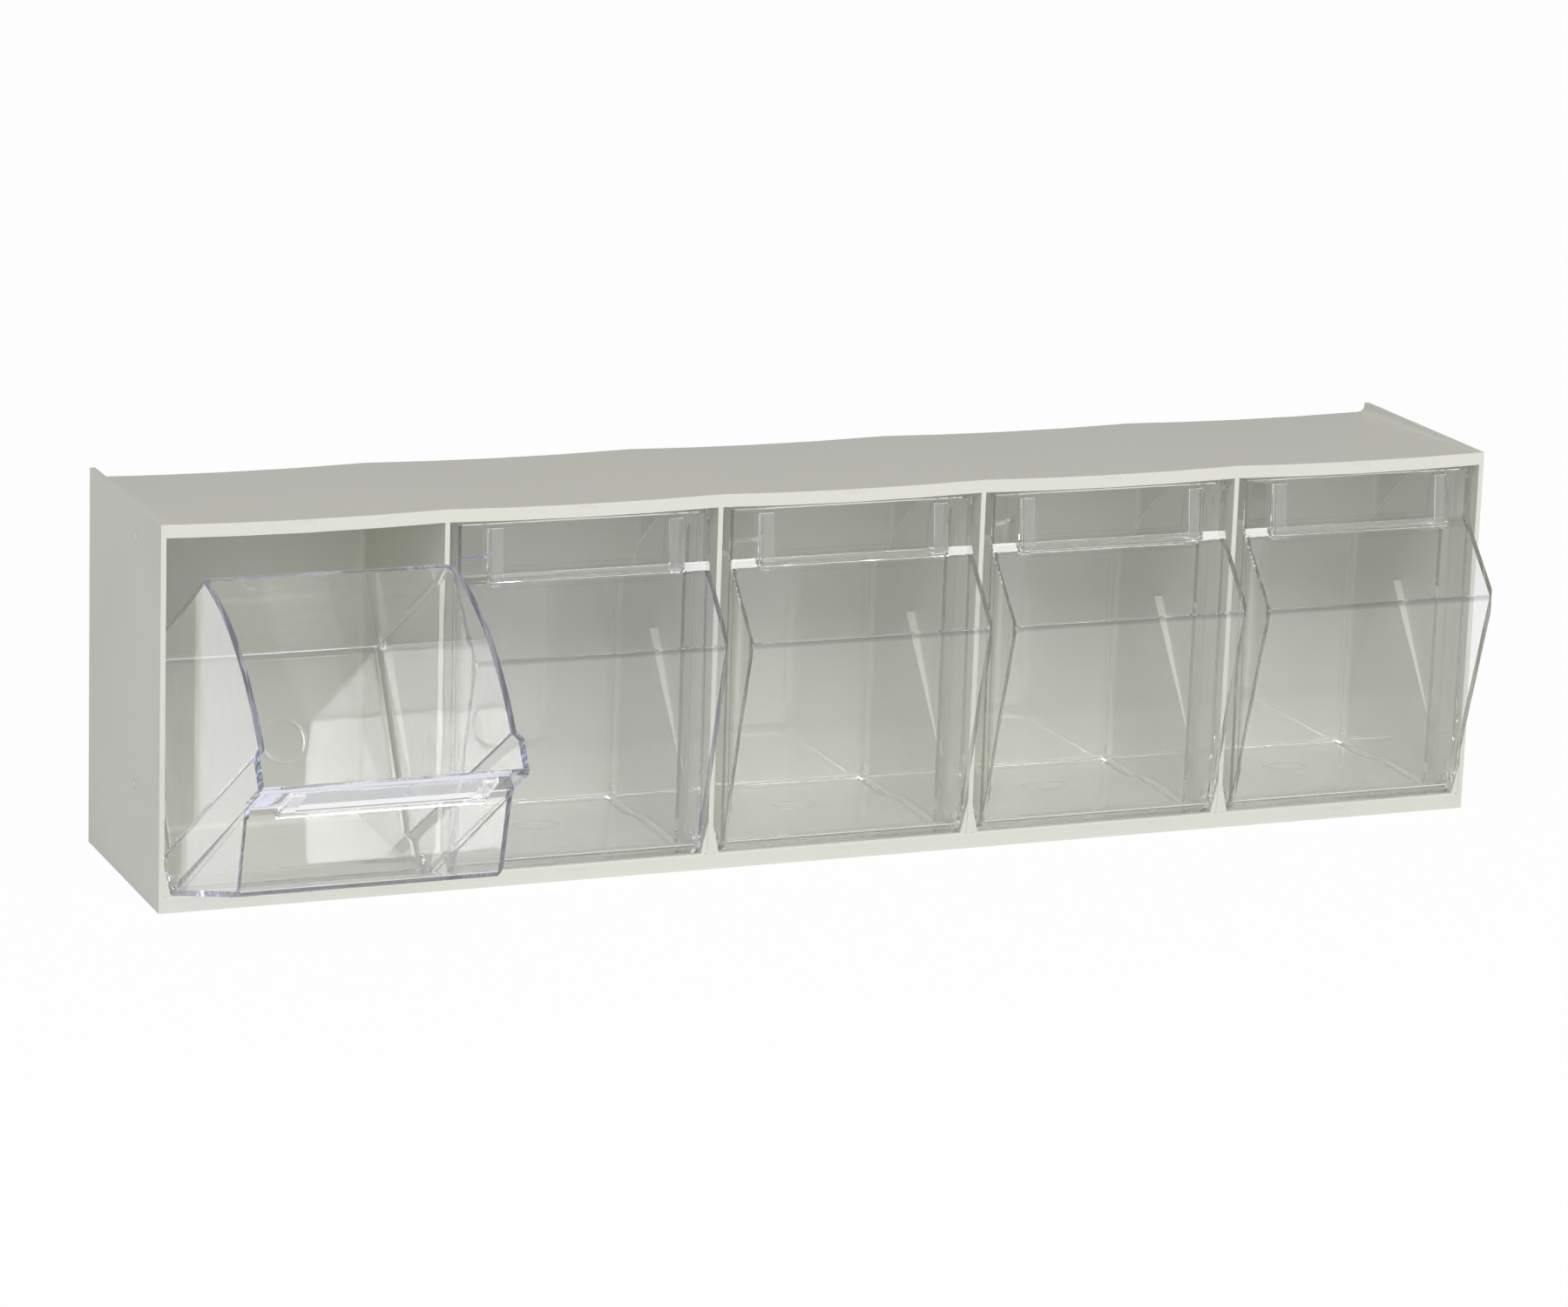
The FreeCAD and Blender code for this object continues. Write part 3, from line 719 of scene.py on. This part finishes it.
def camera_matrix():
    """Place and turn of the camera, from the direction that it looks from."""
    azimuth = math.radians(CAMERA_AZIMUTH)
    height = math.radians(CAMERA_HEIGHT)
    roll = math.radians(CAMERA_ROLL)
    back = Vector((
        math.sin(azimuth) * math.cos(height),
        -math.cos(azimuth) * math.cos(height),
        math.sin(height),
    ))
    right = Vector((math.cos(azimuth), math.sin(azimuth), 0))
    up = back.cross(right)
    turned_right = right * math.cos(roll) + up * math.sin(roll)
    turned_up = up * math.cos(roll) - right * math.sin(roll)
    offset = turned_right * CAMERA_ASIDE + turned_up * CAMERA_ABOVE + back * CAMERA_DISTANCE
    place = Vector(CAMERA_TARGET) + offset
    return Matrix((
        (turned_right.x, turned_up.x, back.x, place.x),
        (turned_right.y, turned_up.y, back.y, place.y),
        (turned_right.z, turned_up.z, back.z, place.z),
        (0, 0, 0, 1),
    ))


def studio_world(strength):
    """Even light from all round, seen as white by the camera and through the clear bins."""
    world = bpy.data.worlds.new("studio")
    world.use_nodes = True
    tree = world.node_tree
    tree.nodes.clear()
    output = add_node(tree, "ShaderNodeOutputWorld", (600, 0))
    ambient = add_node(tree, "ShaderNodeBackground", (0, 100))
    set_inputs(ambient, Color=WHITE, Strength=strength)
    white = add_node(tree, "ShaderNodeBackground", (0, -100))
    set_inputs(white, Color=WHITE, Strength=1)
    path = add_node(tree, "ShaderNodeLightPath", (-600, 300)).outputs
    seen = maths(tree, (-300, 300), "MAXIMUM", path["Is Camera Ray"], path["Is Transmission Ray"])
    surface = mixed_shaders(tree, (300, 0), seen, ambient.outputs[0], white.outputs[0])
    tree.links.new(surface, output.inputs["Surface"])
    return world


class TILTBINS_OT_stage(bpy.types.Operator):
    """Set up the floor, the lights and the camera"""

    bl_idname = "tiltbins.stage"
    bl_label = "Set up the stage"

    def execute(self, context):
        wish = looks("stage_looks")
        scene = context.scene
        mesh = bpy.data.meshes.new("floor")
        corners = [
            (x * FLOOR_HALF, y * FLOOR_HALF, FLOOR_UP)
            for x, y in ((-1, -1), (1, -1), (1, 1), (-1, 1))
        ]
        mesh.from_pydata(corners, [], [(0, 1, 2, 3)])
        floor = bpy.data.objects.new("floor", mesh)
        scene.collection.objects.link(floor)
        mesh.materials.append(floor_material())

        scene.world = studio_world(wish.ambient)
        for name, (place, width, height) in LAMPS.items():
            area_light(name, place, width, height, getattr(wish, name))

        data = bpy.data.cameras.new("camera")
        data.lens = wish.lens
        data.sensor_width = SENSOR_WIDTH
        data.clip_start = 0.1
        data.clip_end = 50
        camera = bpy.data.objects.new("camera", data)
        scene.collection.objects.link(camera)
        camera.matrix_world = camera_matrix()
        scene.camera = camera
        scene.view_settings.view_transform = "Standard"
        scene.cycles.max_bounces = 24
        scene.cycles.transmission_bounces = 20
        scene.cycles.glossy_bounces = 20
        scene.cycles.transparent_max_bounces = 32
        scene.cycles.caustics_refractive = False
        scene.cycles.caustics_reflective = False
        return {"FINISHED"}


class TILTBINS_PT_unit(bpy.types.Panel):
    """Settings and steps of the tilt out bin unit"""

    bl_idname = "TILTBINS_PT_unit"
    bl_label = "Tilt out bins"
    bl_space_type = "VIEW_3D"
    bl_region_type = "UI"
    bl_category = "Tilt out bins"

    def draw(self, context):
        layout = self.layout
        for group in GROUPS:
            box = layout.box()
            settings = getattr(context.scene, group)
            for name in settings.__annotations__:
                box.prop(settings, name)
        for step in STEPS:
            layout.operator(step.bl_idname)


GROUPS = {"housing_looks": HousingLooks, "bin_looks": BinLooks, "stage_looks": StageLooks}
STEPS = (TILTBINS_OT_housing, TILTBINS_OT_bins, TILTBINS_OT_stage)


def register():
    for name, group in GROUPS.items():
        bpy.utils.register_class(group)
        setattr(bpy.types.Scene, name, bpy.props.PointerProperty(type=group))
    for step in STEPS:
        bpy.utils.register_class(step)
    bpy.utils.register_class(TILTBINS_PT_unit)


def unregister():
    bpy.utils.unregister_class(TILTBINS_PT_unit)
    for step in reversed(STEPS):
        bpy.utils.unregister_class(step)
    for name, group in GROUPS.items():
        delattr(bpy.types.Scene, name)
        bpy.utils.unregister_class(group)


def main():
    register()
    bpy.ops.tiltbins.housing()
    bpy.ops.tiltbins.bins()
    bpy.ops.tiltbins.stage()


if __name__ == "__main__":
    main()
